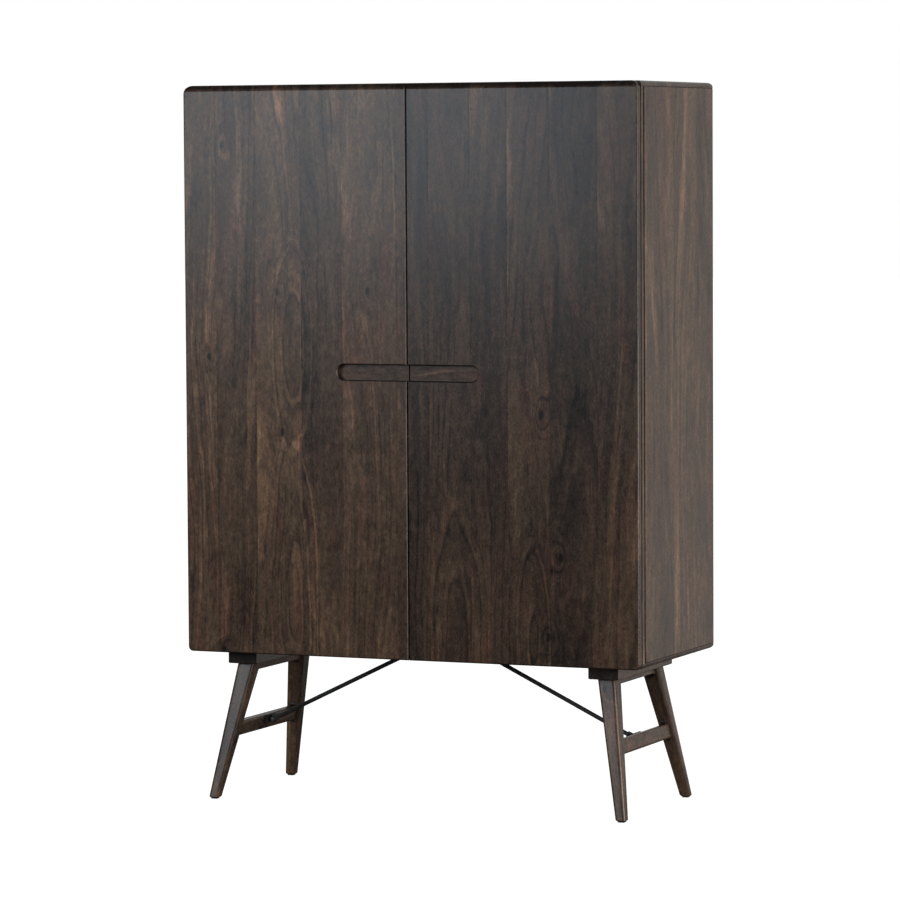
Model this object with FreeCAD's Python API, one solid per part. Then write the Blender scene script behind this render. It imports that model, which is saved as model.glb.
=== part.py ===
import FreeCAD, Part
import math
import os
from FreeCAD import Vector

# Bar cabinet on two splayed leg frames, with a fold-out shelf inside its right-hand door.
#
# Millimetres. +Z is up, the doors face -Y, +X is the viewer's right when facing the doors.
# The origin is on the floor, under the middle of the closed cabinet.
# Everything is drawn with the doors closed and the shelf and its bracket folded away.
# Pieces that come in pairs are drawn once on the +X side and mirrored to the -X side.

# ---------------------------------------------------------------- overall sizes
overall_width = 1118.0
overall_depth = 482.0           # over the doors
overall_height = 1650.0
leg_height = 345.0              # floor to the underside of the case

# ---------------------------------------------------------------- boards of the case
board_thickness = 12.0          # top and bottom
board_end_radius = 10.5         # round on the outer ends of the top and bottom
side_thickness = 18.0
panel_line = 1.5                # small bevel that draws the line between side and boards
back_thickness = 6.0
back_rebate = 8.0               # how far the back is let into its neighbours
shelf_thickness = 18.0
counter_thickness = 20.0
edge_ease = 2.0

# ---------------------------------------------------------------- front frame of the case
stile_width = 45.0
stile_depth = 20.0
shadow_line_width = 8.0         # groove between the front frame and the side panel
shadow_line_depth = 4.0
top_rail_height = 40.0
bottom_rail_height = 30.0

# ---------------------------------------------------------------- doors
door_thickness = 18.0
door_to_case = 3.0
door_split = 3.0
door_top_corner = 20.0
door_bottom_corner = 12.0
door_front_round = 4.0
door_back_bevel = 3.0
door_split_bevel = 1.5
top_moulding_height = 14.0
top_moulding_depth = 10.0
top_moulding_bulge = 1.5

# ---------------------------------------------------------------- finger pull
pull_half_length = 174.0
pull_height = 35.0
pull_lip = 2.5                  # flared edge of the slot
pull_pocket = 3.0               # how far the backing block is let into the door
pull_block_thickness = 14.0
pull_block_margin = 20.0        # wood around the slot that the block covers
glue_gap = 0.1

# ---------------------------------------------------------------- door hinges
hinge_inset = 110.0             # top and bottom hinge, from the door's ends
pivot_from_edge = 7.5
pivot_from_back = 5.5
cup_radius = 17.5
cup_edge_distance = 3.0
cup_depth = 11.5
cup_floor = 1.0
cup_slot_wall = 1.3             # left at each end of the slot
cup_ear_half_width = 9.0
cup_ear_reach = 26.0
cup_ear_thickness = 0.8
cup_ear_clip = 4.0
arm_thickness = 1.6
arm_half_width = 5.0
arm_plate_half_height = 20.0
arm_neck = 11.5                 # straight neck of the arm inside the cup
arm_rise = 7.5                  # run over which the arm climbs out of the cup
eye_radius = 2.5
slot_gap = 0.5                  # between the arm and each side of the cup's slot
pin_radius = 1.5
running_fit = 0.05              # round a pin that turns
press_gap = 0.01                # round a pin that is held fast

# ---------------------------------------------------------------- inside the case
counter_top = 835.0             # top of the fixed serving counter
upper_shelf_bottom = 1345.0
divider_thickness = 18.0
lower_shelf_bottom = 581.0
shelf_end_gap = 1.0
shelf_setback = 6.0
batten_height = 22.0
batten_thickness = 14.0
batten_setback = 30.0

bottle_rows = 3
bottle_columns = 5
bottle_rail_height = 50.0
bottle_rail_thickness = 18.0
bottle_radius = 41.0
scallop_depth = 16.0
front_rail_setback = 46.0
rail_spacing = 180.0

glass_rails = 5
glass_rail_pitch = 96.0
glass_rail_inset = 41.0         # first rail, from the side panel
glass_rail_back_gap = 59.0      # from the back panel
glass_rail_height = 30.0
glass_web = 12.0
glass_flange = 66.0
glass_flange_thickness = 8.0

catch_offset = 60.0             # from the middle of the cabinet
catch_width = 30.0
catch_height = 14.0
catch_depth = 30.0
magnet_gap = 0.2
strike_thickness = 1.0

# ---------------------------------------------------------------- fold-out shelf
leaf_length = 400.0
leaf_depth = 260.0
leaf_thickness = 18.0
leaf_corner = 14.0
leaf_from_pivot = 61.5          # leaf's near end, from the door's pivot
leaf_pivot_height = 1065.5
cleat_thickness = 14.0
cleat_height = 52.0
cleat_drop = 17.5               # cleat's lower edge, below the shelf's pivot

flap_thickness = 1.5
flap_seat = 3.5                 # from the pin's centre to the wood each flap is screwed to
flap_width = 22.0
knuckle_radius = 3.2
knuckle_gap = 0.4
leaf_edge_gap = 4.5             # from the pin's centre to the edge of the wood
leaf_hinge_length = 380.0
leaf_hinge_knuckles = 5
leaf_rim_bevel = 1.5

# ---------------------------------------------------------------- swing-out bracket
bracket_reach = 210.0
bracket_thickness = 18.0
bracket_pivot_x = 262.0
bracket_arm_height = 24.0
bracket_post_width = 32.0
bracket_foot = 868.0            # height of the post's lower end
bracket_clearance = 0.5         # between the bracket and the shelf it carries
brace_width = 24.0
brace_radius = 128.0            # middle line of the curved brace
bracket_hinge_length = 110.0
bracket_hinge_knuckles = 3

shelf_catch_size = 30.0
shelf_catch_below_top = 30.0
shelf_magnet_size = 12.0
shelf_magnet_depth = 4.0
shelf_strike_size = 14.0

# ---------------------------------------------------------------- leg frames
frame_centre_y = -8.0
frame_x = 449.0                 # middle of each mounting board
mounting_board_width = 72.0
mounting_board_length = 344.0
mounting_board_thickness = 32.0
leg_top_spacing = 269.0         # between the legs of one frame, at their tops
foot_x = 506.0
foot_spacing = 412.0
leg_top = 43.0
leg_foot = 25.0
leg_edge_round = 7.5
foot_bevel = 2.5
tenon_size = 22.0
tenon_length = 20.0
glide_size = 14.0
glide_height = 3.0
rail_drop = 16.0
rail_thickness = 26.0
rail_fillet = 14.0
stretcher_centre = 159.0
stretcher_height = 34.0
stretcher_thickness = 20.0
stretcher_round = 5.0
stretcher_fillet = 9.0

# ---------------------------------------------------------------- steel brace rods
rod_radius = 5.0
rod_tab_length = 15.0           # flattened end of the rod, from its bolt
rod_tab_thickness = 5.0
rod_upper_x = 102.0
rod_lower_rise = 8.0            # lower bolt, above the stretcher's middle
lug_half_width = 7.5
lug_clip = 3.5
lug_thickness = 4.0
lug_reach = 9.0                 # from the base plate to the bolt
bracket_plate_length = 50.0
bracket_plate_width = 20.0
bracket_plate_thickness = 3.0
bolt_radius = 3.0
bolt_clearance = 0.05
bolt_head_radius = 5.5
bolt_head_height = 4.0

# ---------------------------------------------------------------- derived places
half_width = overall_width / 2
door_front = -overall_depth / 2
door_back = door_front + door_thickness
case_front = door_back + door_to_case
case_back = overall_depth / 2
frame_back = case_front + stile_depth
case_bottom = leg_height
case_top = overall_height
floor_of_case = case_bottom + board_thickness
ceiling_of_case = case_top - board_thickness
side_inner = half_width - side_thickness
stile_inner = half_width - stile_width
back_front = case_back - back_thickness
middle_height = (case_bottom + case_top) / 2
counter_bottom = counter_top - counter_thickness
upper_shelf_top = upper_shelf_bottom + shelf_thickness
divider_half = divider_thickness / 2

split_edge = door_split / 2
pivot_x = half_width - pivot_from_edge
pivot_y = door_back - pivot_from_back
cup_x = half_width - cup_edge_distance - cup_radius
hinge_heights = (case_bottom + hinge_inset, middle_height, case_top - hinge_inset)

leaf_end_x = pivot_x - leaf_from_pivot
leaf_far_x = leaf_end_x - leaf_length
cleat_back = door_back + cleat_thickness
leaf_pivot_y = cleat_back + flap_seat
leaf_front = leaf_pivot_y + flap_seat
leaf_bottom = leaf_pivot_height + leaf_edge_gap
leaf_top = leaf_bottom + leaf_depth

bracket_pivot_y = door_back + flap_seat
bracket_front = bracket_pivot_y + flap_seat
bracket_near = bracket_pivot_x + leaf_edge_gap
bracket_top = leaf_pivot_height - flap_seat - leaf_thickness - bracket_clearance

board_underside = case_bottom - mounting_board_thickness
leg_drop = board_underside - glide_height
splay_x = (foot_x - frame_x) / leg_drop
splay_y = (foot_spacing - leg_top_spacing) / 2 / leg_drop
leg_taper = (leg_top - leg_foot) / 2 / leg_drop
tilt = math.degrees(math.atan(splay_x))

UP = Vector(0, 0, 1)
RIGHT = Vector(1, 0, 0)
BACK = Vector(0, 1, 0)


# ---------------------------------------------------------------- small helpers
def box(x0, x1, y0, y1, z0, z1):
    return Part.makeBox(x1 - x0, y1 - y0, z1 - z0, Vector(x0, y0, z0))


def bar(start, end, radius):
    return Part.makeCylinder(radius, (end - start).Length, start, end - start)


def block(corner, edge_a, edge_b, edge_c):
    corners = [corner, corner + edge_a, corner + edge_a + edge_b, corner + edge_b, corner]
    return Part.Face(Part.makePolygon(corners)).extrude(edge_c)


def prism(edges, direction):
    return Part.Face(Part.Wire(edges)).extrude(direction)


def arc(start, through, end):
    return Part.Arc(start, through, end).toShape()


def line(start, end):
    return Part.LineSegment(start, end).toShape()


def edges_where(shape, test):
    return [edge for edge in shape.Edges if all(test(vertex.Point) for vertex in edge.Vertexes)]


def near(value, target):
    return abs(value - target) < 1e-4


def mirrored(shape):
    return shape.mirror(Vector(0, 0, 0), RIGHT)


def both_sides(shape):
    return [shape, mirrored(shape)]


def save(name, *solids):
    shape = solids[0] if len(solids) == 1 else Part.makeCompound(list(solids))
    shape.exportStep("parts/" + name + ".step")


def save_pair(name, *solids):
    save("right_" + name, *solids)
    save("left_" + name, *[mirrored(solid) for solid in solids])


def eased_board(x0, x1, y0, y1, z0, z1):
    """A shelf or board with its two long front edges eased."""
    board = box(x0, x1, y0, y1, z0, z1)
    front = edges_where(board, lambda p: near(p.y, y0))
    long_edges = [edge for edge in front if near(edge.Vertexes[0].Z, edge.Vertexes[1].Z)]
    return board.makeFillet(edge_ease, long_edges)


# ---------------------------------------------------------------- case
def end_board(underside, topside, outer_face):
    """Top or bottom board: its outer ends are rounded on the outer face."""
    board = box(-half_width, half_width, case_front, case_back, underside, topside)
    ends = edges_where(board, lambda p: near(abs(p.x), half_width) and near(p.z, outer_face))
    ends = [edge for edge in ends if edge.Length > stile_depth]
    return board.makeFillet(board_end_radius, ends)


def back_space():
    """The space that the back panel fills, let into the boards and sides around it."""
    reach = side_inner + back_rebate
    return box(-reach, reach, back_front, case_back,
               floor_of_case - back_rebate, ceiling_of_case + back_rebate)


def side_panel():
    panel = box(side_inner, half_width, frame_back, case_back, floor_of_case, ceiling_of_case)
    outer = edges_where(panel, lambda p: near(p.x, half_width)
                        and (near(p.z, floor_of_case) or near(p.z, ceiling_of_case)))
    outer = [edge for edge in outer if edge.Length < overall_depth]
    return panel.makeChamfer(panel_line, outer).cut(back_space())


def stile():
    """Upright of the front frame. The groove at its back edge draws the shadow line."""
    upright = box(stile_inner, half_width, case_front, frame_back,
                  floor_of_case, ceiling_of_case)
    groove = box(half_width - shadow_line_depth, half_width,
                 frame_back - shadow_line_width, frame_back, floor_of_case, ceiling_of_case)
    return upright.cut(groove)


def shelf_batten(x0):
    """Strip that carries one end of the lower shelf, its lower front corner cut back."""
    batten = box(x0, x0 + batten_thickness, frame_back + batten_setback,
                 back_front - batten_setback, lower_shelf_bottom - batten_height,
                 lower_shelf_bottom)
    foot = edges_where(batten, lambda p: near(p.y, frame_back + batten_setback)
                       and near(p.z, lower_shelf_bottom - batten_height))
    return batten.makeChamfer(batten_height / 2, foot)


def bottle_rail(y0, z0):
    """A rail with a shallow scallop for each bottle."""
    start = -side_inner
    length = side_inner - divider_half
    rail = box(start, start + length, y0, y0 + bottle_rail_thickness, z0,
               z0 + bottle_rail_height)
    pitch = length / bottle_columns
    centre_z = z0 + bottle_rail_height - scallop_depth + bottle_radius
    for column in range(bottle_columns):
        x = start + pitch * (column + 0.5)
        centre = Vector(x, y0, centre_z)
        rail = rail.cut(bar(centre, centre + BACK * bottle_rail_thickness, bottle_radius))
    return rail


def glass_rail(x):
    """An inverted T: the feet of two rows of stemmed glasses hang from its flanges."""
    y0 = frame_back + edge_ease
    y1 = back_front - glass_rail_back_gap
    web = box(x - glass_web / 2, x + glass_web / 2, y0, y1,
              upper_shelf_bottom - glass_rail_height, upper_shelf_bottom)
    flange = box(x - glass_flange / 2, x + glass_flange / 2, y0, y1,
                 upper_shelf_bottom - glass_rail_height,
                 upper_shelf_bottom - glass_rail_height + glass_flange_thickness)
    return web.fuse(flange).removeSplitter()


def build_case():
    opening = back_space()
    save("top_board", end_board(ceiling_of_case, case_top, case_top).cut(opening))
    save("bottom_board", end_board(case_bottom, floor_of_case, case_bottom).cut(opening))
    panel = side_panel()
    save_pair("side_panel", panel)
    save("back_panel", opening)
    save_pair("stile", stile())
    save("top_rail", box(-stile_inner, stile_inner, case_front, frame_back,
                         ceiling_of_case - top_rail_height, ceiling_of_case))
    save("bottom_rail", box(-stile_inner, stile_inner, case_front, frame_back,
                            floor_of_case, floor_of_case + bottom_rail_height))
    save("counter_shelf", eased_board(-side_inner, side_inner, frame_back, back_front,
                                      counter_bottom, counter_top))
    save("upper_shelf", eased_board(-side_inner, side_inner, frame_back, back_front,
                                    upper_shelf_bottom, upper_shelf_top))
    divider = box(-divider_half, divider_half, frame_back, back_front,
                  floor_of_case, counter_bottom)
    save("lower_divider", divider)
    save("lower_shelf", eased_board(
        divider_half + shelf_end_gap, side_inner - shelf_end_gap,
        frame_back + shelf_setback, back_front - shelf_setback,
        lower_shelf_bottom, lower_shelf_bottom + shelf_thickness))
    save("shelf_battens", shelf_batten(divider_half),
         shelf_batten(side_inner - batten_thickness))
    row_pitch = (counter_bottom - floor_of_case) / bottle_rows
    front_y = frame_back + front_rail_setback
    for row in range(bottle_rows):
        z0 = floor_of_case + row * row_pitch
        save("bottle_row_%d" % (row + 1), bottle_rail(front_y, z0),
             bottle_rail(front_y + rail_spacing, z0))
    first = -side_inner + glass_rail_inset
    save("glass_rails", *[glass_rail(first + i * glass_rail_pitch) for i in range(glass_rails)])


# ---------------------------------------------------------------- doors
def pull_slot(margin, y0, y1):
    """Half of the round-ended slot, open at the door's split edge."""
    half = pull_height / 2 + margin
    centre_x = pull_half_length - pull_height / 2
    slot = box(0, centre_x, y0, y1, middle_height - half, middle_height + half)
    centre = Vector(centre_x, y0, middle_height)
    return slot.fuse(bar(centre, centre + BACK * (y1 - y0), half)).removeSplitter()


def flared_lip():
    """The slot opens out at the door's face: a ruled cone round the same outline."""
    def outline(margin, y):
        half = pull_height / 2 + margin
        centre_x = pull_half_length - pull_height / 2
        low = Vector(centre_x, y, middle_height - half)
        high = Vector(centre_x, y, middle_height + half)
        tip = Vector(centre_x + half, y, middle_height)
        start = Vector(0, y, middle_height - half)
        end = Vector(0, y, middle_height + half)
        return Part.Wire([line(start, low), arc(low, tip, high), line(high, end),
                          line(end, start)])
    return Part.makeLoft([outline(pull_lip, door_front), outline(0, door_front + pull_lip)],
                         True, True)


def top_moulding_profile():
    """Side view of the door: its top front edge leans back in a shallow curve."""
    low = Vector(0, door_front, case_top - top_moulding_height)
    high = Vector(0, door_front + top_moulding_depth, case_top)
    outward = Vector(0, -top_moulding_height, top_moulding_depth).normalize()
    crown = (low + high) * 0.5 + outward * top_moulding_bulge
    foot = Vector(0, door_front, case_bottom)
    heel = Vector(0, door_back, case_bottom)
    head = Vector(0, door_back, case_top)
    edges = [line(foot, low), arc(low, crown, high), line(high, head), line(head, heel),
             line(heel, foot)]
    return prism(edges, RIGHT * half_width)


def pull_block(gap):
    z_half = pull_height / 2 + pull_block_margin
    return box(split_edge, pull_half_length + pull_block_margin + gap,
               door_back - pull_pocket, door_back - pull_pocket + pull_block_thickness,
               middle_height - z_half - gap, middle_height + z_half + gap)


def split_bevel(y, inward):
    """Three-sided strip that takes the sharp edge off the door at the split."""
    corner = Vector(split_edge, y, case_bottom)
    ring = [corner, corner + RIGHT * door_split_bevel, corner + inward * door_split_bevel, corner]
    return Part.Face(Part.makePolygon(ring)).extrude(UP * (case_top - case_bottom))


def rim_edges(slab, y):
    """Edges round one face of the door, without the edge at the split."""
    rim = edges_where(slab, lambda p: near(p.y, y))
    return [e for e in rim if not all(near(v.X, split_edge) for v in e.Vertexes)]


def door_panel():
    slab = box(split_edge, half_width, door_front, door_back, case_bottom, case_top)
    for z, radius in ((case_top, door_top_corner), (case_bottom, door_bottom_corner)):
        corner = edges_where(slab, lambda p: near(p.x, half_width) and near(p.z, z))
        slab = slab.makeFillet(radius, [e for e in corner if near(e.Length, door_thickness)])
    slab = slab.makeFillet(door_front_round, rim_edges(slab, door_front))
    slab = slab.makeChamfer(door_back_bevel, rim_edges(slab, door_back))
    for y, inward in ((door_front, BACK), (door_back, BACK * -1)):
        slab = slab.cut(split_bevel(y, inward))
    slab = slab.common(top_moulding_profile())
    slab = slab.cut(pull_slot(0, door_front, door_back)).cut(flared_lip())
    slab = slab.cut(pull_block(glue_gap))
    for z in hinge_heights:
        slab = slab.cut(cup_cylinder(z, cup_radius + glue_gap, cup_depth))
    return slab


def cup_cylinder(z, radius, depth):
    mouth = Vector(cup_x, door_back, z)
    return bar(mouth - BACK * depth, mouth, radius)


def hinge_pin(z, radius, half):
    centre = Vector(pivot_x, pivot_y, z)
    return bar(centre - UP * half, centre + UP * half, radius)


def hinge_cup(z):
    """Cast cup let into the door. The arm swings in its slot, on a pin across the slot."""
    ear_y = door_back + cup_ear_thickness
    ears = box(cup_x - cup_ear_half_width, cup_x + cup_ear_half_width, door_back, ear_y,
               z - cup_ear_reach, z + cup_ear_reach)
    corners = [e for e in ears.Edges if near(e.Length, cup_ear_thickness)]
    ears = ears.makeChamfer(cup_ear_clip, corners)
    slot_half = arm_half_width + slot_gap
    reach = cup_radius - cup_slot_wall
    slot = box(cup_x - reach, cup_x + reach,
               door_back - cup_depth + cup_floor, ear_y, z - slot_half, z + slot_half)
    cup = cup_cylinder(z, cup_radius, cup_depth).fuse(ears).cut(slot)
    return cup.fuse(hinge_pin(z, pin_radius, slot_half)).removeSplitter()


def bent_strip(points, thickness, z, half_height):
    """Sheet metal bent along the given points of a plan view, with mitred bends."""
    left = []
    right = []
    for before, point, after in zip([None] + points, points, points[1:] + [None]):
        into = (point - before).normalize() if before else (after - point).normalize()
        out = (after - point).normalize() if after else into
        across = UP.cross(into + out).normalize()
        reach = thickness / 2 / across.dot(UP.cross(into))
        left.append(point + across * reach)
        right.append(point - across * reach)
    ring = [corner + UP * (z - half_height) for corner in left + right[::-1] + left[:1]]
    return Part.Face(Part.makePolygon(ring)).extrude(UP * (2 * half_height))


def hinge_arm(z):
    """Fixed arm: an eye on the pin, a neck out of the cup, and a plate round the stile."""
    strap_y = case_front - arm_thickness / 2
    neck_x = pivot_x - arm_neck
    plate_x = stile_inner - arm_thickness / 2
    points = [Vector(pivot_x, pivot_y, 0), Vector(neck_x, pivot_y, 0),
              Vector(neck_x - arm_rise, strap_y, 0), Vector(plate_x, strap_y, 0),
              Vector(plate_x, case_front + stile_depth / 2, 0)]
    arm = bent_strip(points, arm_thickness, z, arm_half_width)
    plate = box(stile_inner - arm_thickness, stile_inner, case_front, frame_back - edge_ease,
                z - arm_plate_half_height, z + arm_plate_half_height)
    arm = arm.fuse(plate).fuse(hinge_pin(z, eye_radius, arm_half_width))
    return arm.cut(hinge_pin(z, pin_radius + running_fit, arm_half_width)).removeSplitter()


def catch_place():
    z1 = ceiling_of_case - top_rail_height
    return z1 - catch_height, z1


def catch_magnet():
    z0, z1 = catch_place()
    inset = catch_width / 6
    return box(catch_offset - catch_width / 2 + inset, catch_offset + catch_width / 2 - inset,
               door_back + strike_thickness + magnet_gap, case_front + stile_depth / 2,
               z0 + catch_height / 4, z1 - catch_height / 4)


def catch_housing():
    z0, z1 = catch_place()
    front = door_back + strike_thickness + 2 * magnet_gap
    housing = box(catch_offset - catch_width / 2, catch_offset + catch_width / 2,
                  front, front + catch_depth, z0, z1)
    return housing.cut(catch_magnet())


def strike_plate():
    z0, z1 = catch_place()
    return box(catch_offset - catch_width / 2, catch_offset + catch_width / 2,
               door_back, door_back + strike_thickness, z0 - edge_ease, z1)


def build_doors():
    save_pair("door_panel", door_panel())
    save_pair("pull_block", pull_block(0))
    save_pair("hinge_cups", *[hinge_cup(z) for z in hinge_heights])
    save_pair("hinge_arms", *[hinge_arm(z) for z in hinge_heights])
    save_pair("strike_plate", strike_plate())
    save("catch_housings", *both_sides(catch_housing()))
    save("catch_magnets", *both_sides(catch_magnet()))


# ---------------------------------------------------------------- knuckled hinges
def hinge_flap(base, along, out, seat, length, knuckles, first, bore):
    """One flap of a knuckled hinge, as it lies folded shut.

    base is the end of the pin's centre line, along the way the pin runs, out the way both
    flaps reach from it, and seat the way from the pin to the wood this flap is screwed to.
    The flap has every second knuckle, counted from first."""
    pitch = length / knuckles
    clear = knuckle_radius + knuckle_gap
    seat_side = seat * flap_seat
    thickness = seat * -flap_thickness
    flap = block(base + seat_side + out * clear, along * length, out * (flap_width - clear),
                 thickness)
    for index in range(first, knuckles, 2):
        start = base + along * (index * pitch + knuckle_gap / 2)
        run = along * (pitch - knuckle_gap)
        flap = flap.fuse(block(start + seat_side, run, out * clear, thickness))
        flap = flap.fuse(bar(start, start + run, knuckle_radius))
    return flap.cut(bar(base, base + along * length, bore)).removeSplitter()


def hinge_rod(base, along, length):
    return bar(base, base + along * length, pin_radius)


# ---------------------------------------------------------------- fold-out shelf
def shelf_leaf():
    leaf = box(leaf_far_x, leaf_end_x, leaf_front, leaf_front + leaf_thickness,
               leaf_bottom, leaf_top)
    corners = edges_where(leaf, lambda p: near(p.z, leaf_top))
    corners = [edge for edge in corners if near(edge.Length, leaf_thickness)]
    leaf = leaf.makeFillet(leaf_corner, corners)
    for y in (leaf_front, leaf_front + leaf_thickness):
        rim = [e for e in edges_where(leaf, lambda p: near(p.y, y))
               if not all(near(v.Z, leaf_bottom) for v in e.Vertexes)]
        leaf = leaf.makeChamfer(leaf_rim_bevel, rim)
    return leaf.cut(shelf_strike())


def catch_square(size, y0, y1):
    """Square piece centred on the line of the shelf's catch."""
    x = (leaf_far_x + leaf_end_x) / 2
    z = leaf_top - shelf_catch_below_top
    return box(x - size / 2, x + size / 2, y0, y1, z - size / 2, z + size / 2)


def shelf_strike():
    return catch_square(shelf_strike_size, leaf_front, leaf_front + strike_thickness)


def shelf_catch():
    """Block on the door that the folded shelf rests against, with a magnet let into it."""
    face = leaf_front - magnet_gap
    magnet = catch_square(shelf_magnet_size, face - shelf_magnet_depth, face)
    return catch_square(shelf_catch_size, door_back, face).cut(magnet), magnet


def build_shelf():
    cleat_bottom = leaf_pivot_height - cleat_drop
    cleat = box(leaf_far_x, leaf_end_x, door_back, cleat_back, cleat_bottom,
                cleat_bottom + cleat_height)
    rim = [e for e in edges_where(cleat, lambda p: near(p.y, cleat_back))
           if near(e.Length, leaf_length)]
    save("shelf_cleat", cleat.makeFillet(edge_ease, rim))
    base = Vector(leaf_far_x + (leaf_length - leaf_hinge_length) / 2, leaf_pivot_y,
                  leaf_pivot_height)
    size = (leaf_hinge_length, leaf_hinge_knuckles)
    save("shelf_hinge_plate", hinge_flap(base, RIGHT, UP, -BACK, *size, 0,
                                         pin_radius + press_gap))
    save("shelf_hinge_flap", hinge_flap(base, RIGHT, UP, BACK, *size, 1,
                                        pin_radius + running_fit))
    save("shelf_hinge_pin", hinge_rod(base, RIGHT, leaf_hinge_length))
    save("shelf_leaf", shelf_leaf())
    save("shelf_strike", shelf_strike())
    save("shelf_catch", *shelf_catch())


# ---------------------------------------------------------------- swing-out bracket
def bracket_brace():
    """Curved knee between post and arm: part of a ring, trimmed to both of them."""
    inner_x = bracket_near + bracket_post_width
    under_arm = bracket_top - bracket_arm_height
    centre = Vector(inner_x + brace_radius, bracket_front, under_arm - brace_radius)
    back = centre + BACK * bracket_thickness
    ring = bar(centre, back, brace_radius + brace_width / 2)
    ring = ring.cut(bar(centre, back, brace_radius - brace_width / 2))
    corner = box(inner_x, centre.x, bracket_front, back.y, centre.z, under_arm)
    return ring.common(corner)


def build_bracket():
    y0 = bracket_front
    y1 = bracket_front + bracket_thickness
    under_arm = bracket_top - bracket_arm_height
    far = bracket_near + bracket_reach
    arm = box(bracket_near, far, y0, y1, under_arm, bracket_top)
    tip = [e for e in edges_where(arm, lambda p: near(p.x, far) and near(p.z, under_arm))]
    save("bracket_arm", arm.makeFillet(bracket_arm_height / 2, tip))
    save("bracket_post", box(bracket_near, bracket_near + bracket_post_width, y0, y1,
                             bracket_foot, under_arm))
    save("bracket_brace", bracket_brace())
    base = Vector(bracket_pivot_x, bracket_pivot_y,
                  (bracket_foot + under_arm - bracket_hinge_length) / 2)
    size = (bracket_hinge_length, bracket_hinge_knuckles)
    save("bracket_hinge_plate", hinge_flap(base, UP, RIGHT, -BACK, *size, 0,
                                           pin_radius + press_gap))
    save("bracket_hinge_flap", hinge_flap(base, UP, RIGHT, BACK, *size, 1,
                                          pin_radius + running_fit))
    save("bracket_hinge_pin", hinge_rod(base, UP, bracket_hinge_length))


# ---------------------------------------------------------------- leg frames
def rounded_square(x, y, z, half, radius):
    """Closed horizontal outline with four arcs for corners."""
    edges = []
    flat = half - radius
    slant = radius * math.sqrt(0.5)
    for sx, sy in ((1, -1), (1, 1), (-1, 1), (-1, -1)):
        centre = Vector(x + sx * flat, y + sy * flat, z)
        before = centre + (Vector(0, sy, 0) if sx * sy < 0 else Vector(sx, 0, 0)) * radius
        after = centre + (Vector(sx, 0, 0) if sx * sy < 0 else Vector(0, sy, 0)) * radius
        if edges:
            edges.append(line(last, before))
        else:
            first = before
        edges.append(arc(before, centre + Vector(sx, sy, 0) * slant, after))
        last = after
    edges.append(line(last, first))
    return Part.Wire(edges)


def leg_centre(z, side_y):
    drop = board_underside - z
    return Vector(frame_x + drop * splay_x,
                  frame_centre_y + side_y * (leg_top_spacing / 2 + drop * splay_y), z)


def square_peg(centre, size, z0, z1):
    return box(centre.x - size / 2, centre.x + size / 2,
               centre.y - size / 2, centre.y + size / 2, z0, z1)


def leg(side_y):
    """Tapered leg that leans outward two ways, with a square tenon into its board."""
    sections = []
    for z, inset in ((board_underside, 0), (glide_height + foot_bevel, 0),
                     (glide_height, foot_bevel)):
        centre = leg_centre(z, side_y)
        half = leg_top / 2 - (board_underside - z) * leg_taper - inset
        sections.append(rounded_square(centre.x, centre.y, z, half, leg_edge_round - inset))
    top = leg_centre(board_underside, side_y)
    tenon = square_peg(top, tenon_size, top.z - edge_ease, top.z + tenon_length)
    return Part.makeLoft(sections, True, True).fuse(tenon).removeSplitter()


def mounting_board():
    half = mounting_board_width / 2
    y0 = frame_centre_y - mounting_board_length / 2
    board = box(frame_x - half, frame_x + half, y0, y0 + mounting_board_length,
                board_underside, case_bottom)
    rim = edges_where(board, lambda p: near(p.z, board_underside))
    board = board.makeChamfer(edge_ease, rim)
    for side_y in (-1, 1):
        top = leg_centre(board_underside, side_y)
        board = board.cut(square_peg(top, tenon_size, top.z, top.z + tenon_length))
    return board


def tilted(shape, z):
    """Lean a piece drawn upright about the origin into the plane of the leg frame."""
    shape = shape.copy()
    shape.rotate(Vector(0, 0, 0), BACK, -tilt)
    shape.translate(Vector(frame_x + (board_underside - z) * splay_x, frame_centre_y, z))
    return shape


def inner_line(z):
    """Half the clear width between the two legs of a frame, at a height."""
    drop = board_underside - z
    return leg_top_spacing / 2 - leg_top / 2 + drop * (splay_y + leg_taper)


def fillet_wedge(corner, along_bar, along_leg, radius, thickness):
    """Concave fillet between a bar and a leg, with a tail that runs on into the leg."""
    angle = along_bar.getAngle(along_leg)
    reach = radius / math.tan(angle / 2)
    middle = (along_bar + along_leg).normalize()
    centre = corner + middle * (radius / math.sin(angle / 2))
    a = corner + along_bar * reach
    b = corner + along_leg * reach
    tail = along_bar * (-leg_foot / 4)
    edges = [arc(a, centre - middle * radius, b), line(b, b + tail), line(b + tail, corner + tail),
             line(corner + tail, a)]
    return prism(edges, RIGHT * thickness)


def wedges(z, half_height, levels, radius, thickness):
    """Fillet wedges at both ends of a bar, below it (-1) and above it (+1)."""
    slope = (splay_y + leg_taper) * math.cos(math.radians(tilt))
    pieces = []
    for side_y in (-1, 1):
        for level in levels:
            edge_z = z + level * half_height * math.cos(math.radians(tilt))
            corner = Vector(-thickness / 2, side_y * inner_line(edge_z), level * half_height)
            down_leg = Vector(0, side_y * slope, -1) * -level
            pieces.append(fillet_wedge(corner, BACK * -side_y, down_leg.normalize(), radius,
                                       thickness))
    return pieces


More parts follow.
